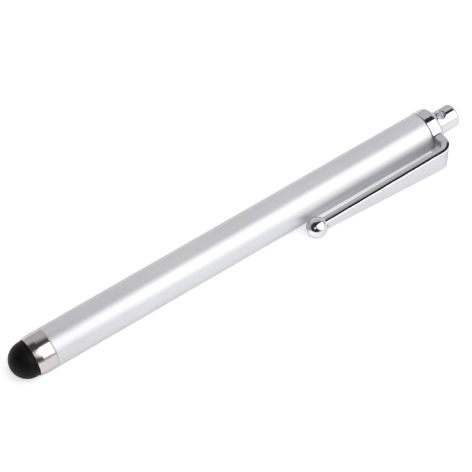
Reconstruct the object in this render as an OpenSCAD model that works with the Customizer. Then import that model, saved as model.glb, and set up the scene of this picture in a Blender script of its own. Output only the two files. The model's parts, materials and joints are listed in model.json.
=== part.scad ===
// Touch-screen stylus pen, lying on its side and resting on its clip. Millimetres.
// Each piece is drawn on the pen's own axis: X runs from the barrel's front end to its rear end,
// the clip stands up along Z, and lying() then lays the whole pen down on the plane Z = 0.

/* [Barrel] */
// Outside diameter of the tube
barrel_d = 8; // [7:0.1:10]
// Length of the tube
barrel_len = 85.1; // [60:0.1:120]
// Wall of the tube
barrel_wall = 0.6; // [0.4:0.05:0.8]
// Length of the bright bevel turned on both ends of the tube
barrel_bevel_len = 0.4; // [0.1:0.05:0.8]
// Depth of that bevel at the end face
barrel_bevel_depth = 0.12; // [0.04:0.01:0.2]

/* [Nose ferrule] */
// Length of the ferrule in front of the tube
ferrule_len = 3.8; // [3.4:0.1:8]
// Length of its short cone
ferrule_cone_len = 1.3; // [0.6:0.1:2.4]
// Wall of the lip round the nib
ferrule_lip_wall = 0.16; // [0.1:0.02:0.3]
// Length of the spigot inside the tube
ferrule_spigot_len = 6; // [3:0.5:12]
// Wall of that spigot
ferrule_spigot_wall = 0.6; // [0.4:0.05:0.8]
// Thickness of the web that holds the nib by its neck
ferrule_web = 0.8; // [0.5:0.1:1.2]
// Small bevel on the ferrule's rear edge
ferrule_edge = 0.08; // [0.02:0.01:0.15]

/* [Nib] */
// How far the side of the nib lies inside the side of the tube
nib_inset = 0.4; // [0.35:0.05:0.8]
// Straight part of the nib in front of the lip
nib_straight = 0.65; // [0.2:0.05:2]
// Part of the nib inside the lip
nib_skirt = 1.2; // [0.8:0.1:1.2]
// Wall of the hollow dome
nib_wall = 0.9; // [0.5:0.05:1.2]
// Floor of the dome, round the neck
nib_floor = 0.9; // [0.5:0.1:1]
// How far the nib gives way when it is pressed on a screen
nib_travel = 0.6; // [0.2:0.05:0.6]
// How far the snap flange stands out from the neck
nib_flange_step = 0.45; // [0.3:0.05:0.6]
// Thickness of the snap flange
nib_flange_len = 1; // [0.5:0.1:2]
// Wall of the neck round the peg
nib_neck_wall = 1; // [0.6:0.05:1.2]
// How far the peg's head stands out from its shank
peg_head_step = 0.5; // [0.3:0.05:0.8]
// Thickness of the peg's head
peg_head_len = 0.5; // [0.3:0.05:0.8]
// How far the peg shows behind the flange
peg_tail = 0.3; // [0:0.05:1]

/* [Clip] */
// Length of the round head behind the tube
head_len = 2.8; // [2.4:0.1:6]
// Rounding of the head's rear shoulder
head_shoulder = 1.1; // [0.4:0.05:1.2]
// Small bevel on the head's front edge
head_edge = 0.08; // [0.02:0.01:0.15]
// Thickness of the neck, measured along the pen
neck_thick = 1.7; // [1.5:0.05:2.2]
// Width of the neck where it leaves the head
neck_foot_w = 5.2; // [3:0.1:6]
// Width of the arm at the bend
arm_root_w = 6; // [4:0.1:7]
// Width of the arm at the ball
arm_tip_w = 2.5; // [1.5:0.1:3.5]
// Thickness of the arm
arm_thick = 1.5; // [1:0.05:1.8]
// Outside radius of the bend
bend_r = 2.4; // [2:0.05:3]
// Height of the bend's outer face above the side of the tube
clip_stand = 4.1; // [3.6:0.05:5]
// Distance from the tube's rear end to the ball's middle
clip_reach = 29.6; // [18:0.1:45]
// Diameter of the ball
ball_d = 4.05; // [3:0.05:4.4]
// Gap between the ball and the tube
ball_gap = 0.68; // [0.2:0.02:1]

/* [Lanyard stud] */
// Diameter of the stud
stud_d = 4.6; // [3.8:0.1:5.4]
// Length of the stud behind the head
stud_len = 4.9; // [4:0.1:8]
// Rounding of the stud's end
stud_round = 0.7; // [0.2:0.05:1]
// Diameter of the cross hole for a cord
lanyard_hole_d = 1.8; // [1:0.1:2.2]
// Distance from the stud's shoulder to the middle of the cross hole
lanyard_hole_back = 1.45; // [1.3:0.05:2.5]
// Diameter of the stud's threaded shank
shank_d = 3; // [2.5:0.1:3.4]
// Length of thread inside the bush
shank_grip = 6; // [4:0.5:10]

/* [Rear bush] */
// Length of the brass bush in the tube's rear end
bush_len = 8; // [5:0.5:14]
// How far the bush lies inside the tube's end face
bush_recess = 0.2; // [0.05:0.05:0.5]

/* [Hidden] */
$fn = 96;
// Clearances, all measured on one side
press_gap = 0.02;   // pieces pressed or glued into the tube
thread_gap = 0.03;  // plain cylinders that stand for a thread
run_gap = 0.05;     // faces and bores that move on each other
slide_gap = 0.04;   // nib in the ferrule's mouth
stop_gap = 0.1;     // left at the end of the nib's travel
neck_gap = 0.08;    // between the flange and the web
overrun = 1;        // how far a cut runs past what it cuts
arc_steps = 12;     // straight pieces in a quarter turn of the bend

barrel_r = barrel_d / 2;
bore_r = barrel_r - barrel_wall;
fitted_r = bore_r - press_gap;

// Nose, from the front: the lip, the web and the nib's own steps
nib_r = barrel_r - nib_inset;
chamber_r = fitted_r - ferrule_spigot_wall;
nib_flange_r = chamber_r - run_gap;
nib_neck_r = nib_flange_r - nib_flange_step;
peg_bore_r = nib_neck_r - nib_neck_wall;
peg_r = peg_bore_r - press_gap;
mouth_r = nib_r + slide_gap;
lip_r = mouth_r + ferrule_lip_wall;
lip_x = -ferrule_len;
nib_centre_x = lip_x - nib_straight;
nib_back_x = lip_x + nib_skirt;
web_front_x = nib_back_x + nib_travel + stop_gap;
web_back_x = web_front_x + ferrule_web;
flange_x = web_back_x + neck_gap;
flange_end_x = flange_x + nib_flange_len;
cavity_r = nib_r - nib_wall;
cavity_floor_x = nib_back_x - nib_floor;

// Rear end: head, neck, bend, arm and ball
head_r = barrel_r;
head_x = barrel_len + run_gap;
head_end_x = head_x + head_len;
neck_end_x = head_x + neck_thick;
journal_r = shank_d / 2;
clip_r = barrel_r + clip_stand;
bend_z = clip_r - bend_r;
bend_x = neck_end_x - bend_r;
inner_bend_r = bend_r - arm_thick;
inner_bend_x = head_x - inner_bend_r;
ball_r = ball_d / 2;
ball_x = barrel_len - clip_reach;
ball_z = barrel_r + ball_gap + ball_r;
stud_x = head_end_x + run_gap;
stud_end_x = stud_x + stud_len;
stud_r = stud_d / 2;
hole_x = stud_x + lanyard_hole_back;
shank_end_x = barrel_len - bush_recess - shank_grip;

// The roll at which the tube and the clip's outer corner both touch the plane
half_w = arm_root_w / 2;
corner_r = sqrt(clip_r * clip_r + half_w * half_w);
corner_angle = atan(half_w / clip_r);
rest_roll = acos(-barrel_r / corner_r) - corner_angle;

// The origin lies under the middle of the whole pen
front_x = nib_centre_x - nib_r;
corner_reach = clip_r * sin(rest_roll) - half_w * cos(rest_roll);
ball_reach = ball_z * sin(rest_roll) + ball_r;
side_reach = max(corner_reach, ball_reach);
middle_x = (front_x + stud_end_x) / 2;
middle_y = (barrel_r - side_reach) / 2;

// Places of the joints and of the cross hole, for the record
echo(rest_roll = rest_roll);
echo(axis_point = laid([0, 0, 0]));
echo(nib_point = laid([lip_x, 0, 0]));
echo(flex_point = laid([neck_end_x, 0, bend_z]));
echo(cross_axis = [0, cos(rest_roll), sin(rest_roll)]);
echo(hole_point = laid([hole_x, 0, 0]));
echo(barrel_middle = laid([barrel_len / 2, 0, 0]));
echo(clip_gap_point = laid([ball_x, 0, barrel_r + ball_gap / 2]));
echo(overall = [stud_end_x - front_x, barrel_r + side_reach, barrel_d]);

// Where a point of the pen's own axes comes to lie
function laid(p) = [
    p[0] - middle_x,
    p[1] * cos(rest_roll) - p[2] * sin(rest_roll) - middle_y,
    p[1] * sin(rest_roll) + p[2] * cos(rest_roll) + barrel_r
];

function arc(centre, r, from, to) = [
    for (i = [0:arc_steps]) let (a = from + (to - from) * i / arc_steps)
        centre + r * [cos(a), sin(a)]
];

module lying() {
    translate([-middle_x, -middle_y, barrel_r]) rotate([rest_roll, 0, 0]) children();
}

// Turns an outline of radius across and place along the pen into a round piece
module turned() {
    rotate([0, 90, 0]) rotate_extrude() children();
}

// A ring of the outline, from x0 to x1 and out to radius r
module step(x0, x1, r) {
    translate([0, x0]) square([r, x1 - x0]);
}

module right_half(x0, x1, r) {
    intersection() {
        children();
        step(x0, x1, r);
    }
}

module barrel() {
    color([0.80, 0.81, 0.82]) lying() turned()
        polygon([
            [bore_r, 0],
            [barrel_r - barrel_bevel_depth, 0],
            [barrel_r, barrel_bevel_len],
            [barrel_r, barrel_len - barrel_bevel_len],
            [barrel_r - barrel_bevel_depth, barrel_len],
            [bore_r, barrel_len]
        ]);
}

module nose_ferrule() {
    color([0.72, 0.72, 0.74]) lying() turned()
        polygon([
            [mouth_r, lip_x],
            [lip_r, lip_x],
            [barrel_r, lip_x + ferrule_cone_len],
            [barrel_r, -ferrule_edge],
            [barrel_r - ferrule_edge, 0],
            [fitted_r, 0],
            [fitted_r, ferrule_spigot_len],
            [chamber_r, ferrule_spigot_len],
            [chamber_r, web_back_x],
            [nib_neck_r + run_gap, web_back_x],
            [nib_neck_r + run_gap, web_front_x],
            [mouth_r, web_front_x]
        ]);
}

module nib() {
    color([0.07, 0.07, 0.08]) lying() turned() difference() {
        union() {
            right_half(front_x, nib_centre_x, nib_r) translate([0, nib_centre_x]) circle(r = nib_r);
            step(nib_centre_x, nib_back_x, nib_r);
            step(nib_back_x, flange_x, nib_neck_r);
            step(flange_x, flange_end_x, nib_flange_r);
        }
        right_half(front_x, nib_centre_x, cavity_r) translate([0, nib_centre_x]) circle(r = cavity_r);
        step(nib_centre_x, cavity_floor_x, cavity_r);
        step(cavity_floor_x, flange_end_x + overrun, peg_bore_r);
    }
}

module nib_peg() {
    color([0.78, 0.62, 0.33]) lying() turned() {
        step(cavity_floor_x - peg_head_len, cavity_floor_x, peg_r + peg_head_step);
        step(cavity_floor_x, flange_end_x + peg_tail, peg_r);
    }
}

module rear_bush() {
    color([0.78, 0.62, 0.33]) lying() turned() difference() {
        step(barrel_len - bush_recess - bush_len, barrel_len - bush_recess, fitted_r);
        step(barrel_len - bush_recess - bush_len - overrun, barrel_len, journal_r + thread_gap);
    }
}

// Head of the clip: a round cap with a rounded shoulder, bored for the stud
module head_cap() {
    turned() difference() {
        union() {
            polygon([
                [0, head_x],
                [head_r - head_edge, head_x],
                [head_r, head_x + head_edge],
                [head_r, head_end_x - head_shoulder],
                [0, head_end_x - head_shoulder]
            ]);
            step(head_end_x - head_shoulder, head_end_x, head_r - head_shoulder);
            right_half(head_end_x - head_shoulder, head_end_x, head_r)
                translate([head_r - head_shoulder, head_end_x - head_shoulder]) circle(r = head_shoulder);
        }
        step(head_x - overrun, head_end_x + overrun, journal_r + run_gap);
    }
}

foot_share = 0.8; // share of the head's radius at which the neck starts to widen

// Foot of the clip, from inside the cap up to the bend
module neck() {
    foot = neck_foot_w / 2;
    translate([head_x, 0, 0]) rotate([90, 0, 90]) linear_extrude(neck_thick)
        polygon([
            [-foot, journal_r + run_gap],
            [foot, journal_r + run_gap],
            [foot, head_r * foot_share],
            [half_w, bend_z],
            [-half_w, bend_z],
            [-foot, head_r * foot_share]
        ]);
}

module clip_head() {
    color([0.72, 0.72, 0.74]) lying() union() {
        head_cap();
        difference() {
            neck();
            turned() step(head_x - overrun, head_end_x, journal_r + run_gap);
        }
    }
}

// The arm seen from the side: the bend at the root and the long taper to the ball
module arm_side() {
    polygon(concat(
        [[ball_x, ball_z - arm_thick / 2], [ball_x, ball_z + arm_thick / 2]],
        arc([bend_x, bend_z], bend_r, 90, 0),
        arc([inner_bend_x, bend_z], inner_bend_r, 0, 90)
    ));
}

// The arm seen from above
module arm_plan() {
    tip = arm_tip_w / 2;
    polygon([
        [ball_x, -tip],
        [bend_x, -half_w],
        [neck_end_x + overrun, -half_w],
        [neck_end_x + overrun, half_w],
        [bend_x, half_w],
        [ball_x, tip]
    ]);
}

module clip_arm() {
    color([0.72, 0.72, 0.74]) lying() union() {
        intersection() {
            translate([0, half_w + overrun, 0]) rotate([90, 0, 0])
                linear_extrude(arm_root_w + 2 * overrun) arm_side();
            linear_extrude(clip_r + overrun) arm_plan();
        }
        translate([ball_x, 0, ball_z]) sphere(r = ball_r);
    }
}

module lanyard_stud() {
    color([0.72, 0.72, 0.74]) lying() difference() {
        turned() {
            step(shank_end_x, stud_x, journal_r);
            step(stud_x, stud_end_x - stud_round, stud_r);
            step(stud_end_x - stud_round, stud_end_x, stud_r - stud_round);
            right_half(stud_end_x - stud_round, stud_end_x, stud_r)
                translate([stud_r - stud_round, stud_end_x - stud_round]) circle(r = stud_round);
        }
        translate([hole_x, stud_r + overrun, 0]) rotate([90, 0, 0])
            cylinder(r = lanyard_hole_d / 2, h = stud_d + 2 * overrun);
    }
}

barrel();
nose_ferrule();
nib();
nib_peg();
rear_bush();
clip_head();
clip_arm();
lanyard_stud();
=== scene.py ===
import json
import math

import bmesh
import bpy
import numpy as np
from mathutils import Matrix, Vector


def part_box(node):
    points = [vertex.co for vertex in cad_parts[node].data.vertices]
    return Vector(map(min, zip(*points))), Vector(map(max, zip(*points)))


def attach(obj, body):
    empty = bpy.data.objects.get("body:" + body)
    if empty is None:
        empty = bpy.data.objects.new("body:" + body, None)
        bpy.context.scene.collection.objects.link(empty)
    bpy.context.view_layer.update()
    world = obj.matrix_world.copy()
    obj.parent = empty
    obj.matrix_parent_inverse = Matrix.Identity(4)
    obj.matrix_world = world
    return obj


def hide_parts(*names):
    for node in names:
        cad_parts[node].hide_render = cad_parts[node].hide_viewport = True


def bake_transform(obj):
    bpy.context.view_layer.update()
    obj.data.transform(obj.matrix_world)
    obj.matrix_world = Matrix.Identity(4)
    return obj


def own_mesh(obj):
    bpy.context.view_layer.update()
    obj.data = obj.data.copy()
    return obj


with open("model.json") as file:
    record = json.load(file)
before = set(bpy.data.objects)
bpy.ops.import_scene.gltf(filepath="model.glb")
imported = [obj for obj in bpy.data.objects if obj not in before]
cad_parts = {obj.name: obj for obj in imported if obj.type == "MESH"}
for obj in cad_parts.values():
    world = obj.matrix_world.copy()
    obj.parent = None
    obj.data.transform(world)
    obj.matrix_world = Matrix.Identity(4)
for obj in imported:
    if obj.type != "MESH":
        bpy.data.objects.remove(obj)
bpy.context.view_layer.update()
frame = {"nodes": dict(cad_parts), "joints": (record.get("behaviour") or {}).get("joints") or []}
mm = 0.001                                           # sizes are in millimetres unless a note says otherwise
print("frame loaded:", len(frame["nodes"]), "nodes")


# places that every piece shares, read from the frame

boxes = {name: [Vector(corner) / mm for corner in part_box(name)] for name in frame["nodes"]}
flexAxis = next(Vector(j["axis"]) for j in frame["joints"] if j["name"] == "clip_flex")
penAxisY = (boxes["barrel"][0].y + boxes["barrel"][1].y) / 2
barrelRadius = (boxes["barrel"][1].y - boxes["barrel"][0].y) / 2
penAxisZ = barrelRadius                              # the tube lies on the floor
alongPen = Vector((1, 0, 0))
clipOut = Vector((0, -flexAxis.z, flexAxis.y))       # from the pen's axis to the middle of the clip
clipSide = Vector((0, flexAxis.y, flexAxis.z))       # across the clip


def place(x, side, out):
    # millimetres along the pen, across the clip and out towards it, as metres in the frame
    point = Vector((x, penAxisY, penAxisZ)) + clipSide * side + clipOut * out
    return point * mm


# mesh helpers

meshing = {
    "segments": 192,           # steps round a turned piece that shows
    "hiddenSegments": 96,      # the same for one inside another
    "sharpAngle": 35,          # degrees; a sharper edge isn't smoothed over
    "weld": 1e-7,              # metres within which points become one
    "speck": 1e-8,             # metres below which an edge is dropped
    "slopeReach": 0.01,        # how far to each side a field's slope is measured
    "pulls": 6,                # how often a point is pulled onto the field's surface
    "leastSlope": 0.2,         # keeps a pull short where a field is nearly flat
}


def finishMesh(name, bm, material, smoothAngle=meshing["sharpAngle"]):
    mesh = bpy.data.meshes.new(name)
    bmesh.ops.recalc_face_normals(bm, faces=bm.faces)
    for face in bm.faces:
        face.smooth = True
    for edge in bm.edges:
        if edge.is_manifold:
            edge.smooth = edge.calc_face_angle(0) < math.radians(smoothAngle)
    bm.to_mesh(mesh)
    bm.free()
    piece = bpy.data.objects.new(name, mesh)
    bpy.context.scene.collection.objects.link(piece)
    mesh.materials.append(material)
    return piece


def roundCorners(corners, steps=5):
    # corners are (place along the pen, radius, rounding); returns the outline with arcs in place of corners
    outline = []
    count = len(corners)
    for i, (x, r, rounding) in enumerate(corners):
        here = Vector((x, r))
        if rounding == 0:
            outline.append(here)
            continue
        before = Vector(corners[i - 1][:2]) - here
        after = Vector(corners[(i + 1) % count][:2]) - here
        half = before.angle(after) / 2
        reach = rounding / math.tan(half)
        centre = here + (before.normalized() + after.normalized()).normalized() * rounding / math.sin(half)
        start = here + before.normalized() * reach - centre
        sweep = start.angle_signed(here + after.normalized() * reach - centre)
        for k in range(steps + 1):
            turn = Matrix.Rotation(-sweep * k / steps, 2)
            outline.append(centre + turn @ start)
    return outline


def turnedPiece(name, outline, material, segments=meshing["segments"], smoothAngle=meshing["sharpAngle"]):
    # a closed outline of (place along the pen, radius) turned round the pen's axis
    bm = bmesh.new()
    rings = []
    for step in range(segments):
        angle = 2 * math.pi * step / segments
        rings.append([
            bm.verts.new(place(x, r * math.cos(angle), r * math.sin(angle))) for x, r in outline
        ])
    for step in range(segments):
        here, there = rings[step], rings[(step + 1) % segments]
        for k in range(len(outline)):
            n = (k + 1) % len(outline)
            if outline[k][1] > 0 or outline[n][1] > 0:       # nothing to turn along the axis itself
                bm.faces.new((here[k], here[n], there[n], there[k]))
    bmesh.ops.remove_doubles(bm, verts=bm.verts, dist=meshing["weld"])
    bmesh.ops.dissolve_degenerate(bm, edges=bm.edges, dist=meshing["speck"])
    piece = finishMesh(name, bm, material, smoothAngle)
    shading = piece.modifiers.new("flatStretchesStayFlat", "WEIGHTED_NORMAL")
    shading.keep_sharp = True
    return piece


# surfaces drawn from a distance field, for cast and drilled shapes whose edges all flow together

def smoothUnion(a, b, blend):
    # both shapes, with a fillet about as wide as blend between them
    h = np.clip(0.5 + 0.5 * (b - a) / blend, 0, 1)
    return b * (1 - h) + a * h - blend * h * (1 - h)


def smoothCut(a, b, blend):
    # what is left of a outside b
    return -smoothUnion(-a, b, blend)


def roundedMeet(a, b, rounding):
    # two faces that meet in a rounded edge; both distances are from the faces moved in by the rounding
    both = np.stack([a, b], 1)
    return np.linalg.norm(np.maximum(both, 0), axis=1) + np.minimum(both.max(1), 0) - rounding


def outlineDistance(points, corners):
    # signed distance from 2D points to a closed polygon, negative inside
    best = np.full(len(points), np.inf)
    inside = np.zeros(len(points), bool)
    for i in range(len(corners)):
        a, b = np.array(corners[i - 1]), np.array(corners[i])
        edge = b - a
        share = np.clip((points - a) @ edge / (edge @ edge), 0, 1)
        best = np.minimum(best, np.linalg.norm(points - a - share[:, None] * edge, axis=1))
        crosses = (a[1] > points[:, 1]) != (b[1] > points[:, 1])
        if edge[1] != 0:
            meet = a[0] + (points[:, 1] - a[1]) / edge[1] * edge[0]
            inside ^= crosses & (points[:, 0] < meet)
    return np.where(inside, -best, best)


def slopeOf(field, points, reach=meshing["slopeReach"]):
    slope = np.empty_like(points)
    for axis in range(3):
        step = np.zeros(3)
        step[axis] = reach
        slope[:, axis] = (field(points + step) - field(points - step)) / (2 * reach)
    return slope


def fieldPiece(name, field, low, high, pitch, material):
    # meshes the field's zero surface with one point in each cell that it passes through:
    # first the field's values at the corners of the cells
    counts = [int(math.ceil((high[i] - low[i]) / pitch)) + 1 for i in range(3)]
    lines = [low[i] + pitch * np.arange(counts[i]) for i in range(3)]
    values = np.empty(counts)
    for i, x in enumerate(lines[0]):
        side, out = np.meshgrid(lines[1], lines[2], indexing="ij")
        slab = np.stack([np.full(side.size, x), side.ravel(), out.ravel()], axis=1)
        values[i] = field(slab).reshape(side.shape)
    solid = values < 0
    # each cell's point is the mean of the places where the surface crosses the cell's edges
    cells = [c - 1 for c in counts]
    total = np.zeros(cells + [3])
    hits = np.zeros(cells)
    for axis in range(3):
        lower = [slice(None)] * 3
        upper = [slice(None)] * 3
        lower[axis], upper[axis] = slice(0, -1), slice(1, None)
        a, b = values[tuple(lower)], values[tuple(upper)]
        crossed = solid[tuple(lower)] != solid[tuple(upper)]
        share = np.where(crossed, a / np.where(crossed, a - b, 1), 0)
        for du in (0, 1):
            for dv in (0, 1):
                part = [slice(0, c) for c in cells]
                others = [k for k in range(3) if k != axis]
                part[others[0]] = slice(du, cells[others[0]] + du)
                part[others[1]] = slice(dv, cells[others[1]] + dv)
                hit = crossed[tuple(part)]
                hits += hit
                total[..., axis] += np.where(hit, share[tuple(part)], 0)
                total[..., others[0]] += np.where(hit, du, 0)
                total[..., others[1]] += np.where(hit, dv, 0)
    used = hits > 0
    index = np.full(cells, -1)
    index[used] = np.arange(used.sum())
    corner = np.stack(np.nonzero(used), axis=1)
    points = np.array(low) + pitch * (corner + total[used] / hits[used][:, None])
    for _ in range(meshing["pulls"]):
        slope = slopeOf(field, points)
        steepness = np.maximum((slope ** 2).sum(1), meshing["leastSlope"])
        points -= (field(points) / steepness)[:, None] * slope
    # a face of four cells' points round every edge that the surface crosses
    faces = []
    for axis in range(3):
        others = [k for k in range(3) if k != axis]
        lower = [slice(1, c) for c in cells]
        upper = [slice(1, c) for c in cells]
        lower[axis], upper[axis] = slice(0, cells[axis]), slice(1, cells[axis] + 1)
        inner, outer = solid[tuple(lower)], solid[tuple(upper)]
        for flip, crossing in ((False, inner & ~outer), (True, ~inner & outer)):
            at = np.stack(np.nonzero(crossing), axis=1)
            at[:, others[0]] += 1
            at[:, others[1]] += 1
            ring = []
            for du, dv in ((-1, -1), (0, -1), (0, 0), (-1, 0)):
                cell = at.copy()
                cell[:, others[0]] += du
                cell[:, others[1]] += dv
                ring.append(index[cell[:, 0], cell[:, 1], cell[:, 2]])
            quad = np.stack(ring, axis=1)
            faces.append(quad[:, ::-1] if flip else quad)
    faces = np.concatenate(faces)
    # shaded by the field's own slope, so that fillets and flats look as smooth as they are
    normals = slopeOf(field, points)
    normals /= np.linalg.norm(normals, axis=1)[:, None]
    turn = np.array([alongPen, clipSide, clipOut], float)
    middle = np.array([0, penAxisY, penAxisZ])
    mesh = bpy.data.meshes.new(name)
    mesh.from_pydata(((points @ turn + middle) * mm).tolist(), [], faces.tolist())
    mesh.validate()
    bm = bmesh.new()
    bm.from_mesh(mesh)
    bmesh.ops.recalc_face_normals(bm, faces=bm.faces)
    for face in bm.faces:
        face.smooth = True
    bm.to_mesh(mesh)
    bm.free()
    mesh.normals_split_custom_set_from_vertices((normals @ turn).tolist())
    mesh.materials.append(material)
    piece = bpy.data.objects.new(name, mesh)
    bpy.context.scene.collection.objects.link(piece)
    return piece


# materials

def linear(hexColour):
    # the standard sRGB curve
    channels = [int(hexColour[i:i + 2], 16) / 255 for i in (1, 3, 5)]
    return [c / 12.92 if c <= 0.04045 else ((c + 0.055) / 1.055) ** 2.4 for c in channels] + [1]


def addNode(tree, kind, inputs=None, **settings):
    # inputs are values or the output sockets of other nodes
    node = tree.nodes.new(kind)
    for key, value in settings.items():
        setattr(node, key, value)
    for key, value in (inputs or {}).items():
        if isinstance(value, bpy.types.NodeSocket):
            tree.links.new(value, node.inputs[key])
        else:
            node.inputs[key].default_value = value
    return node


def newMaterial(name):
    material = bpy.data.materials.new(name)
    material.use_nodes = True
    material.node_tree.nodes.clear()
    return material, material.node_tree


noiseLump = 0.6                # how wide a noise texture's lumps are at scale 1, about
noiseLow, noiseHigh = 0.3, 0.7                       # nearly all of its values lie between these
waveStep = 0.3125              # how far apart a wave texture's bands are at scale 1, about


def grain(tree, sizeMm, detail=2.0):
    # noise whose lumps are about sizeMm across; object coordinates are metres
    where = addNode(tree, "ShaderNodeTexCoord").outputs["Object"]
    return addNode(tree, "ShaderNodeTexNoise",
                   {"Vector": where, "Scale": noiseLump / (sizeMm * mm), "Detail": detail})


def spread(tree, source, low, high):
    # a pattern's values, stretched to go from low to high
    return addNode(tree, "ShaderNodeMapRange", {
        "Value": source, "From Min": noiseLow, "From Max": noiseHigh, "To Min": low, "To Max": high})


def surface(tree, inputs):
    shader = addNode(tree, "ShaderNodeBsdfPrincipled", inputs)
    addNode(tree, "ShaderNodeOutputMaterial", {"Surface": shader.outputs["BSDF"]})


anodised = {
    "colour": "#D6D6D9", "darker": "#D0D0D4",
    "roughness": (0.40, 0.45),
    "metallic": 0.6,           # the oxide layer scatters the rest of the light, so highlights stay soft
    "gloss": 0.3, "edgeColour": "#C6C6CA",     # its matt pits keep the edges grey at a low angle
    "grainMm": 0.12,           # blasting grit is nearer 0.05 mm; drawn coarser so that it shows
    "grainHeightMm": 0.0012, "bump": 0.6,
    "cloudMm": 9.0,            # the anodising varies faintly over this distance
}


def makeAnodisedAluminium():
    # aluminium, fine bead blasted and clear anodised: soft wide highlights, no brush lines
    material, tree = newMaterial("satinAnodisedAluminium")
    fine = grain(tree, anodised["grainMm"])
    cloud = grain(tree, anodised["cloudMm"], detail=1.0)
    colour = addNode(tree, "ShaderNodeMix", {
        "Factor": spread(tree, cloud.outputs["Fac"], 0, 1).outputs["Result"],
        "A": linear(anodised["colour"]), "B": linear(anodised["darker"])}, data_type="RGBA")
    bump = addNode(tree, "ShaderNodeBump", {
        "Height": fine.outputs["Fac"], "Strength": anodised["bump"],
        "Distance": anodised["grainHeightMm"] * mm})
    surface(tree, {
        "Base Color": colour.outputs[2], "Metallic": anodised["metallic"],
        "Specular IOR Level": anodised["gloss"], "Specular Tint": linear(anodised["edgeColour"]),
        "Roughness": spread(tree, fine.outputs["Fac"], *anodised["roughness"]).outputs["Result"],
        "Normal": bump.outputs["Normal"],
    })
    return material


chromes = {
    "satinNickel": {
        "colour": "#CCC7C7", "edgeColour": "#C4C4C6", "roughness": (0.17, 0.21),
        "stretch": 0.7, "stretchTurn": 0.25,         # a quarter turn, so that it goes along the pen
        "waveMm": 4.0, "waveHeightMm": 0.002, "bump": 0.5,
    },
    "turnedChrome": {
        "colour": "#D8D7DB", "edgeColour": "#C4C4C6", "roughness": (0.05, 0.09),
        "stretch": 0.0, "stretchTurn": 0.0,
        "waveMm": 4.0, "waveHeightMm": 0.002, "bump": 0.5,
    },
    "castChrome": {
        "colour": "#D8D7DC", "edgeColour": "#C4C4C6", "roughness": (0.05, 0.10),
        "stretch": 0.0, "stretchTurn": 0.0,
        "waveMm": 2.2, "waveHeightMm": 0.006, "bump": 0.5,
    },
}
hazeShare = 0.4                # the patches of haze on a chrome are this much smaller than its waves


def makeChrome(name):
    # chrome or nickel over polished metal: a mirror, with the faint waviness of the metal under it;
    # tool marks round the nickel nose draw its reflections out along the pen
    look = chromes[name]
    material, tree = newMaterial(name)
    wave = grain(tree, look["waveMm"], detail=0.0)
    haze = grain(tree, look["waveMm"] * hazeShare)
    bump = addNode(tree, "ShaderNodeBump", {
        "Height": wave.outputs["Fac"], "Strength": look["bump"], "Distance": look["waveHeightMm"] * mm})
    surface(tree, {
        "Base Color": linear(look["colour"]), "Metallic": 1.0, "Specular Tint": linear(look["edgeColour"]),
        "Roughness": spread(tree, haze.outputs["Fac"], *look["roughness"]).outputs["Result"],
        "Anisotropic": look["stretch"], "Anisotropic Rotation": look["stretchTurn"],
        "Tangent": addNode(tree, "ShaderNodeTangent", direction_type="RADIAL", axis="X").outputs["Tangent"],
        "Normal": bump.outputs["Normal"],
    })
    return material


silicone = {
    "colour": "#050507", "worn": "#08070A", "roughness": (0.48, 0.60), "gloss": 0.15, "ior": 1.43,
    "grainMm": 0.25,           # the mould's spark texture is finer; drawn coarser so that it shows
    "grainHeightMm": 0.004, "bump": 0.5,
    "patchMm": 2.5,            # rubbed and unrubbed patches differ a little over this distance
}


def makeSilicone():
    # carbon-filled conductive silicone rubber, moulded: near black and matt, a broad weak sheen
    material, tree = newMaterial("blackSilicone")
    fine = grain(tree, silicone["grainMm"])
    patch = grain(tree, silicone["patchMm"], detail=1.0)
    colour = addNode(tree, "ShaderNodeMix", {
        "Factor": spread(tree, patch.outputs["Fac"], 0, 1).outputs["Result"],
        "A": linear(silicone["colour"]), "B": linear(silicone["worn"])}, data_type="RGBA")
    bump = addNode(tree, "ShaderNodeBump", {
        "Height": fine.outputs["Fac"], "Strength": silicone["bump"],
        "Distance": silicone["grainHeightMm"] * mm})
    surface(tree, {
        "Base Color": colour.outputs[2], "IOR": silicone["ior"], "Specular IOR Level": silicone["gloss"],
        "Roughness": spread(tree, patch.outputs["Fac"], *silicone["roughness"]).outputs["Result"],
        "Normal": bump.outputs["Normal"],
    })
    return material


brassLook = {"colour": "#D9B66A", "roughness": (0.22, 0.34), "toolMarkMm": 0.05}


def makeBrass():
    # free-cutting brass, turned and left bare: fine rings from the tool
    material, tree = newMaterial("turnedBrass")
    where = addNode(tree, "ShaderNodeTexCoord").outputs["Object"]
    rings = addNode(tree, "ShaderNodeTexWave",
                    {"Vector": where, "Scale": waveStep / (brassLook["toolMarkMm"] * mm)})
    surface(tree, {
        "Base Color": linear(brassLook["colour"]), "Metallic": 1.0,
        "Roughness": spread(tree, rings.outputs["Fac"], *brassLook["roughness"]).outputs["Result"],
    })
    return material


materials = {
    "anodised": makeAnodisedAluminium(),
    **{name: makeChrome(name) for name in chromes},
    "silicone": makeSilicone(),
    "brass": makeBrass(),
}
print("materials made:", ", ".join(materials))


# barrel

barrelLook = {"wall": 0.6, "bevelLength": 0.2, "bevelDepth": 0.05, "edge": 0.02}
barrelFront, barrelRear = boxes["barrel"][0].x, boxes["barrel"][1].x


def makeBarrel():
    bore = barrelRadius - barrelLook["wall"]
    low = barrelRadius - barrelLook["bevelDepth"]
    edge, bevel = barrelLook["edge"], barrelLook["bevelLength"]
    outline = roundCorners([
        (barrelFront, bore, edge), (barrelFront, low, edge), (barrelFront + bevel, barrelRadius, edge),
        (barrelRear - bevel, barrelRadius, edge), (barrelRear, low, edge), (barrelRear, bore, edge),
    ])
    return turnedPiece("tubeBarrel", outline, materials["anodised"])


tubeBarrel = makeBarrel()
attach(tubeBarrel, "pen_body")
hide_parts("barrel")
print("barrel made")


# nose ferrule

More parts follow.
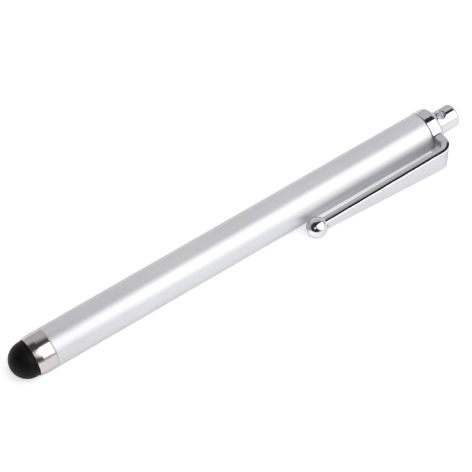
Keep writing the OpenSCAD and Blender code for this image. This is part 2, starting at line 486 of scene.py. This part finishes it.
ferruleLook = {
    "coneLength": 1.3, "lipWall": 0.16, "mouthGap": 0.04, "spigotWall": 0.6, "fitGap": 0.02, "runGap": 0.05,
    "web": 0.8, "rearEdge": 0.08, "edge": 0.04,
}
nibLook = {
    "inset": 0.4, "straight": 0.65, "skirt": 1.2, "wall": 0.9, "floor": 0.9, "travel": 0.6, "stopGap": 0.1,
    "neckGap": 0.08, "flangeStep": 0.45, "flangeLength": 1.0, "neckWall": 1.0, "edge": 0.12,
    "flangeEdge": 0.1,
    "flangeRound": 0.3,        # the flange's rear edge, which goes through the web first
}
lipX = boxes["nose_ferrule"][0].x
spigotEnd = boxes["nose_ferrule"][1].x
nibRadius = barrelRadius - nibLook["inset"]
mouthRadius = nibRadius + ferruleLook["mouthGap"]
lipRadius = mouthRadius + ferruleLook["lipWall"]
spigotRadius = barrelRadius - barrelLook["wall"] - ferruleLook["fitGap"]
chamberRadius = spigotRadius - ferruleLook["spigotWall"]
flangeRadius = chamberRadius - ferruleLook["runGap"]
neckRadius = flangeRadius - nibLook["flangeStep"]
nibBack = lipX + nibLook["skirt"]
webFront = nibBack + nibLook["travel"] + nibLook["stopGap"]
webBack = webFront + ferruleLook["web"]


def makeFerrule():
    edge, rear = ferruleLook["edge"], ferruleLook["rearEdge"]
    coneEnd = lipX + ferruleLook["coneLength"]
    webHole = neckRadius + ferruleLook["runGap"]
    outline = roundCorners([
        (lipX, mouthRadius, edge), (lipX, lipRadius, edge), (coneEnd, barrelRadius, edge),
        (barrelFront - rear, barrelRadius, edge / 2), (barrelFront, barrelRadius - rear, edge / 2),
        (barrelFront, spigotRadius, 0), (spigotEnd, spigotRadius, edge), (spigotEnd, chamberRadius, edge),
        (webBack, chamberRadius, 0), (webBack, webHole, edge), (webFront, webHole, edge),
        (webFront, mouthRadius, 0),
    ])
    return turnedPiece("noseFerrule", outline, materials["satinNickel"], smoothAngle=20)


noseFerrule = makeFerrule()
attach(noseFerrule, "pen_body")
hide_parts("nose_ferrule")
print("nose ferrule made")


# nib: the real dome flattens where it is pressed, here it stays fixed on the pen's body; its stem behind
# the lip slides with the peg

def quarterArc(centreX, radius, steps=32):
    # from the tip, on the axis, back to the widest point
    return [Vector((centreX - radius * math.cos(a), radius * math.sin(a)))
            for a in (math.pi / 2 * k / steps for k in range(steps + 1))]


def makeNibDome():
    centre = lipX - nibLook["straight"]
    cavity = nibRadius - nibLook["wall"]
    floorX = nibBack - nibLook["floor"]
    bore = neckRadius - nibLook["neckWall"]
    edge = nibLook["edge"]
    back = [Vector(corner) for corner in (
        (nibBack - edge, nibRadius), (nibBack, nibRadius - edge), (nibBack, bore),
        (floorX, bore), (floorX, cavity),
    )]
    outline = quarterArc(centre, nibRadius) + back + quarterArc(centre, cavity)[::-1]
    return turnedPiece("nibDome", outline, materials["silicone"], smoothAngle=40)


def makeNibStem():
    flange = webBack + nibLook["neckGap"]
    flangeEnd = flange + nibLook["flangeLength"]
    bore = neckRadius - nibLook["neckWall"]
    edge = nibLook["flangeEdge"]
    outline = roundCorners([
        (nibBack, bore, 0), (nibBack, neckRadius, 0), (flange, neckRadius, 0), (flange, flangeRadius, edge),
        (flangeEnd, flangeRadius, nibLook["flangeRound"]), (flangeEnd, bore, edge),
    ])
    return turnedPiece("nibStem", outline, materials["silicone"], meshing["hiddenSegments"])


nibDome = makeNibDome()
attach(nibDome, "pen_body")
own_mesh(nibDome)
nibStem = makeNibStem()
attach(nibStem, "nib_body")
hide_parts("nib")
print("nib made")


# clip: head, neck, bend, arm and ball as one polished casting

clipLook = {
    "headProud": 0.12, "shoulder": 1.1, "headEdge": 0.1, "bore": 1.55,
    "neckThick": 1.7, "footWidth": 5.2, "footShare": 0.8,
    "rootWidth": 6.0, "tipWidth": 2.5, "armThick": 1.5, "bend": 2.4, "stand": 3.92,
    "ball": 4.14, "ballGap": 0.45, "edge": 0.17, "crown": 0.065,
    "headFillet": 0.7, "ballFillet": 0.35,
    "flatReach": 0.5,          # how far outside the tube the neck's front face is still cut flat
    "springStart": 0.3,        # out from the tube, where the bending begins in the neck
    "springEnd": (1.3, 1.6),   # ahead of the head and out from the tube, where the arm bends no more
    "pitch": 0.11, "margin": 0.4,                    # the mesh's cells, and the room round the casting
}
headX, headEnd = boxes["clip_head"][0].x, boxes["clip_head"][1].x


def makeClip():
    look = clipLook
    clipTop = barrelRadius + look["stand"]
    bendOut = clipTop - look["bend"]
    neckEnd = headX + look["neckThick"]
    bendX = neckEnd - look["bend"]
    innerBend = look["bend"] - look["armThick"]
    ballRadius = look["ball"] / 2
    ballX = boxes["clip_arm"][0].x + ballRadius
    ballOut = barrelRadius + look["ballGap"] + ballRadius
    headRadius = barrelRadius + look["headProud"]

    def arc(x, out, radius, start, end, steps=14):
        angles = [math.radians(start + (end - start) * k / steps) for k in range(steps + 1)]
        return [(x + radius * math.cos(a), out + radius * math.sin(a)) for a in angles]

    side = (
        [(ballX, ballOut - look["armThick"] / 2), (ballX, ballOut + look["armThick"] / 2)]
        + arc(bendX, bendOut, look["bend"], 90, 0)
        + [(neckEnd, 0), (headX, 0)]
        + arc(headX - innerBend, bendOut, innerBend, 0, 90)
    )

    def field(points):
        x, across, out = points[:, 0], points[:, 1], points[:, 2]
        radius = np.hypot(across, out)
        # head: a round cap, its rear shoulder well rounded and its front edge nearly sharp
        cap = roundedMeet(radius - (headRadius - look["shoulder"]), x - (headEnd - look["shoulder"]),
                          look["shoulder"])
        cap = smoothCut(cap, x - headX, look["headEdge"])
        # neck, bend and arm: the side outline with a width that follows the taper, all edges rounded
        toTip = np.clip((bendX - x) / (bendX - ballX), 0, 1)
        width = look["rootWidth"] + (look["tipWidth"] - look["rootWidth"]) * toTip
        toFoot = np.clip((bendOut - out) / (bendOut - barrelRadius * look["footShare"]), 0, 1)
        toFoot = toFoot ** 2 * (3 - 2 * toFoot)      # eased, so that no crease crosses the neck's sides
        narrowing = (look["footWidth"] - look["rootWidth"]) * toFoot
        width = np.where(x > headX - innerBend, width + narrowing, width)
        flat = outlineDistance(points[:, [0, 2]], side)
        # the sides are a little fuller at half the thickness, as a casting's are
        fullness = look["crown"] * np.clip(1 + flat / (look["armThick"] / 2), 0, 1) ** 2
        wide = np.abs(across) - width / 2 + fullness + look["edge"]
        arm = roundedMeet(flat + look["edge"], wide, look["edge"])
        body = smoothUnion(cap, arm, look["headFillet"])
        # the neck's front face lies flat on the tube's end
        body = np.maximum(body, np.where(radius < barrelRadius + look["flatReach"], headX - x, -1))
        ball = np.sqrt((x - ballX) ** 2 + across ** 2 + (out - ballOut) ** 2) - ballRadius
        body = smoothUnion(body, ball, look["ballFillet"])
        return smoothCut(body, radius - look["bore"], look["headEdge"])

    margin = look["margin"]
    half = max(look["rootWidth"] / 2, headRadius)
    low = (ballX - ballRadius - margin, -half - margin, -headRadius - margin)
    high = (headEnd + margin, half + margin, max(clipTop, ballOut + ballRadius) + margin)
    return fieldPiece("clipCasting", field, low, high, look["pitch"], materials["castChrome"])


clipCasting = makeClip()
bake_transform(clipCasting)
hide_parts("clip_head", "clip_arm")
print("clip made:", len(clipCasting.data.vertices), "points")


# lanyard stud

studLook = {
    "diameter": 4.75, "length": 4.9, "round": 0.85, "hole": 1.8, "holeBack": 1.45, "holeEdge": 0.22,
    "shank": 3.0, "shankEdge": 0.2, "shoulderEdge": 0.12,
    "pitch": 0.09, "margin": 0.3,                    # the mesh's cells, and the room round the stud
}
studX = boxes["lanyard_stud"][1].x - studLook["length"]


def makeStud():
    look = studLook
    radiusOut, endX = look["diameter"] / 2, studX + look["length"]

    def field(points):
        x, across, out = points[:, 0], points[:, 1], points[:, 2]
        radius = np.hypot(across, out)
        body = roundedMeet(radius - (radiusOut - look["round"]), x - (endX - look["round"]), look["round"])
        body = smoothCut(body, x - studX, look["shoulderEdge"])
        hole = np.hypot(x - studX - look["holeBack"], out) - look["hole"] / 2
        return smoothCut(body, hole, look["holeEdge"])

    margin = look["margin"]
    low = (studX - margin, -radiusOut - margin, -radiusOut - margin)
    high = (endX + margin, radiusOut + margin, radiusOut + margin)
    return fieldPiece("lanyardStud", field, low, high, look["pitch"], materials["turnedChrome"])


def makeShank():
    start, radius = boxes["lanyard_stud"][0].x, studLook["shank"] / 2
    outline = roundCorners([
        (start, 0, 0), (start, radius, studLook["shankEdge"]), (studX, radius, 0), (studX, 0, 0),
    ])
    return turnedPiece("studShank", outline, materials["turnedChrome"], meshing["hiddenSegments"])


lanyardStud = makeStud()
studShank = makeShank()
for piece in (lanyardStud, studShank):
    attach(piece, "pen_body")
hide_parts("lanyard_stud")
print("lanyard stud made")


# brass pieces inside keep their CAD shape

for node in ("nib_peg", "rear_bush"):
    for materialSlot in frame["nodes"][node].material_slots:
        materialSlot.material = materials["brass"]
print("brass pieces finished")


# camera, as the photograph was taken

view = {
    "tilt": 17.3,              # degrees by which the nib end comes towards the camera
    "slant": 29.94,            # degrees by which the pen climbs in the picture
    "clipTurn": 62.0,          # degrees of the clip from the side facing the camera
    "focal": 2200.0,           # pixels
    "picture": 472,            # pixels
    "distance": 414.5,         # millimetres
    "middle": (237.3, 238.4),  # pixel of the point below
    "middleX": -0.645,         # place along the pen, millimetres
    "sensor": 36,
    "clip": (0.01, 20),        # metres
}


def viewDirections():
    # across the pen: towards the camera, and towards the lower edge of the picture
    turn = math.radians(view["clipTurn"])
    facing = clipOut * math.cos(turn) + clipSide * math.sin(turn)
    lower = clipOut * math.sin(turn) - clipSide * math.cos(turn)
    return facing, lower


def makeCamera():
    facing, lower = viewDirections()
    tilt, slant = math.radians(view["tilt"]), math.radians(view["slant"])
    right = (alongPen * math.cos(tilt) * math.cos(slant) + lower * math.sin(slant)
             + facing * math.sin(tilt) * math.cos(slant))
    up = (alongPen * math.cos(tilt) * math.sin(slant) - lower * math.cos(slant)
          + facing * math.sin(tilt) * math.sin(slant))
    back = facing * math.cos(tilt) - alongPen * math.sin(tilt)
    scale = view["distance"] / view["focal"]
    half = view["picture"] / 2
    aside = (view["middle"][0] - half) * scale
    above = (half - view["middle"][1]) * scale
    target = Vector((view["middleX"], penAxisY, penAxisZ))
    spot = target + back * view["distance"] - right * aside - up * above
    data = bpy.data.cameras.new("photoCamera")
    data.sensor_width = view["sensor"]
    data.lens = view["focal"] / view["picture"] * data.sensor_width
    data.clip_start, data.clip_end = view["clip"]
    camera = bpy.data.objects.new("photoCamera", data)
    camera.matrix_world = Matrix((
        (right.x, up.x, back.x, spot.x * mm),
        (right.y, up.y, back.y, spot.y * mm),
        (right.z, up.z, back.z, spot.z * mm),
        (0, 0, 0, 1),
    ))
    bpy.context.scene.collection.objects.link(camera)
    bpy.context.scene.camera = camera


makeCamera()
print("camera set")


# studio: white floor, a round softbox over the camera, a small lamp below it, and a tent for the mirrors

studio = {
    "worldLight": 0.58,        # what matt surfaces see of the world; the lens and mirrors see white
    "floorColour": "#E4E4E4", "paperGrainMm": 0.8, "paperRoughness": (0.8, 1.0),
    "floorWhite": 0.46, "floorFarWhite": 0.62,       # what the lens and mirrors see it give, near and far
    "lampReach": (250.0, 700.0),                     # from where to where the lamps' light on it fades
    "floorSize": 3.0,          # metres from its middle to each edge
    "floorDrop": 0.02,         # below the pen
    "tentRadius": 600.0, "tentSteps": 5,
    "tentDark": 0.04, "tentLight": 0.64, "tentBack": 0.9,
    "darkCentre": (-28, -10),  # degrees along the pen and across it, the side where the camera stands
    "darkRadius": 48, "lightRadius": 66,             # degrees round it, where dark ends and light begins
    "backRange": (-0.6, -1.0),                       # cosines from it, from light cloth to back cloth
    "discSides": 96,
    "rim": 2,                  # half the width in degrees of the black cloth along the softbox's upper edge
    "rimGap": 5, "rimGlow": 0.02,                    # how far behind the softbox, and how black
}
lamps = {
    # name: degrees along the pen and across it, radius in degrees, distance in millimetres, strength
    "softbox": (26, -1, 42, 400, 2.2),
    "smallLamp": (-36, -6, 11, 440, 1.2),
}


def seenByMirrors(tree):
    # 1 where the lens, a mirror or a clear piece looks, 0 where a matt surface does
    path = addNode(tree, "ShaderNodeLightPath").outputs
    total = path["Is Camera Ray"]
    for name in ("Is Glossy Ray", "Is Transmission Ray"):
        total = addNode(tree, "ShaderNodeMath", {0: total, 1: path[name]},
                        operation="MAXIMUM").outputs["Value"]
    return total


def studioDirection(along, across):
    # degrees along the pen and across it, from the side that faces the camera
    facing, lower = viewDirections()
    flat = facing * math.cos(math.radians(across)) + lower * math.sin(math.radians(across))
    return flat * math.cos(math.radians(along)) + alongPen * math.sin(math.radians(along))


def glowMaterial(name):
    material, tree = newMaterial(name)
    glow = addNode(tree, "ShaderNodeEmission", {"Color": (1, 1, 1, 1)})
    addNode(tree, "ShaderNodeOutputMaterial", {"Surface": glow.outputs["Emission"]})
    return material, glow


def makeWorld():
    world = bpy.data.worlds.new("studioWorld")
    world.use_nodes = True
    tree = world.node_tree
    tree.nodes.clear()
    strength = addNode(tree, "ShaderNodeMapRange", {
        "Value": seenByMirrors(tree), "To Min": studio["worldLight"], "To Max": 1.0})
    shade = addNode(tree, "ShaderNodeBackground",
                    {"Color": (1, 1, 1, 1), "Strength": strength.outputs["Result"]})
    addNode(tree, "ShaderNodeOutputWorld", {"Surface": shade.outputs["Background"]})
    bpy.context.scene.world = world


def makeFloor():
    # matt white paper, lifted to white where the lens or a mirror sees it, still darker in the pen's shadow
    material, tree = newMaterial("whitePaper")
    fine = grain(tree, studio["paperGrainMm"])
    paper = addNode(tree, "ShaderNodeBsdfDiffuse", {
        "Color": linear(studio["floorColour"]),
        "Roughness": spread(tree, fine.outputs["Fac"], *studio["paperRoughness"]).outputs["Result"]})
    where = addNode(tree, "ShaderNodeTexCoord").outputs["Object"]
    away = addNode(tree, "ShaderNodeVectorMath", {0: where}, operation="LENGTH").outputs["Value"]
    near, far = studio["lampReach"]
    white = addNode(tree, "ShaderNodeMapRange", {
        "Value": away, "From Min": near * mm, "From Max": far * mm,
        "To Min": studio["floorWhite"], "To Max": studio["floorFarWhite"]}).outputs["Result"]
    lift = addNode(tree, "ShaderNodeMath", {0: seenByMirrors(tree), 1: white}, operation="MULTIPLY")
    glow = addNode(tree, "ShaderNodeEmission", {"Color": (1, 1, 1, 1), "Strength": lift.outputs["Value"]})
    both = addNode(tree, "ShaderNodeAddShader", {0: paper.outputs["BSDF"], 1: glow.outputs["Emission"]})
    addNode(tree, "ShaderNodeOutputMaterial", {"Surface": both.outputs["Shader"]})
    bm = bmesh.new()
    bmesh.ops.create_grid(bm, x_segments=8, y_segments=8, size=studio["floorSize"])
    floor = finishMesh("paperFloor", bm, material)
    floor.location.z = -studio["floorDrop"] * mm


def makeTent():
    # grey cloth that only mirrors see: dark round the camera, lighter towards the back
    material, glow = glowMaterial("tentCloth")
    tree = material.node_tree
    where = addNode(tree, "ShaderNodeTexCoord").outputs["Object"]
    out = addNode(tree, "ShaderNodeVectorMath", {0: where}, operation="NORMALIZE").outputs["Vector"]
    facing = addNode(tree, "ShaderNodeVectorMath", {0: out, 1: studioDirection(*studio["darkCentre"])},
                     operation="DOT_PRODUCT").outputs["Value"]
    front = addNode(tree, "ShaderNodeMapRange", {
        "Value": facing, "From Min": math.cos(math.radians(studio["darkRadius"])),
        "From Max": math.cos(math.radians(studio["lightRadius"])),
        "To Min": studio["tentDark"], "To Max": studio["tentLight"]})
    back = addNode(tree, "ShaderNodeMapRange", {
        "Value": facing, "From Min": studio["backRange"][0], "From Max": studio["backRange"][1],
        "To Min": 0, "To Max": studio["tentBack"] - studio["tentLight"]})
    total = addNode(tree, "ShaderNodeMath", {0: front.outputs["Result"], 1: back.outputs["Result"]})
    tree.links.new(total.outputs["Value"], glow.inputs["Strength"])
    bm = bmesh.new()
    bmesh.ops.create_icosphere(bm, subdivisions=studio["tentSteps"], radius=studio["tentRadius"] * mm)
    bmesh.ops.bisect_plane(bm, geom=bm.verts[:] + bm.edges[:] + bm.faces[:], plane_co=(0, 0, 0),
                           plane_no=(0, 0, 1), clear_inner=True)
    tent = finishMesh("lightTent", bm, material)
    for kind in ("camera", "diffuse", "shadow", "transmission"):
        setattr(tent, "visible_" + kind, False)


def makeDisc(name, along, across, radius, distance, strength):
    # a round glowing cloth that faces the pen
    outward = studioDirection(along, across)
    material, glow = glowMaterial(name + "Cloth")
    glow.inputs["Strength"].default_value = strength
    bm = bmesh.new()
    bmesh.ops.create_circle(bm, cap_ends=True, segments=studio["discSides"],
                            radius=distance * math.tan(math.radians(radius)) * mm)
    disc = finishMesh(name, bm, material)
    disc.rotation_euler = outward.to_track_quat("Z", "Y").to_euler()
    disc.location = outward * distance * mm
    disc.visible_camera = False
    disc.visible_shadow = False
    return disc


makeWorld()
makeFloor()
makeTent()
for name, values in lamps.items():
    makeDisc(name, *values)
along, across, radius, distance = lamps["softbox"][:4]
softboxRim = makeDisc("softboxRim", along, across - studio["rim"], radius + studio["rim"],
                      distance + studio["rimGap"], studio["rimGlow"])
softboxRim.visible_diffuse = False
bpy.context.scene.view_settings.view_transform = "Standard"
print("studio made")
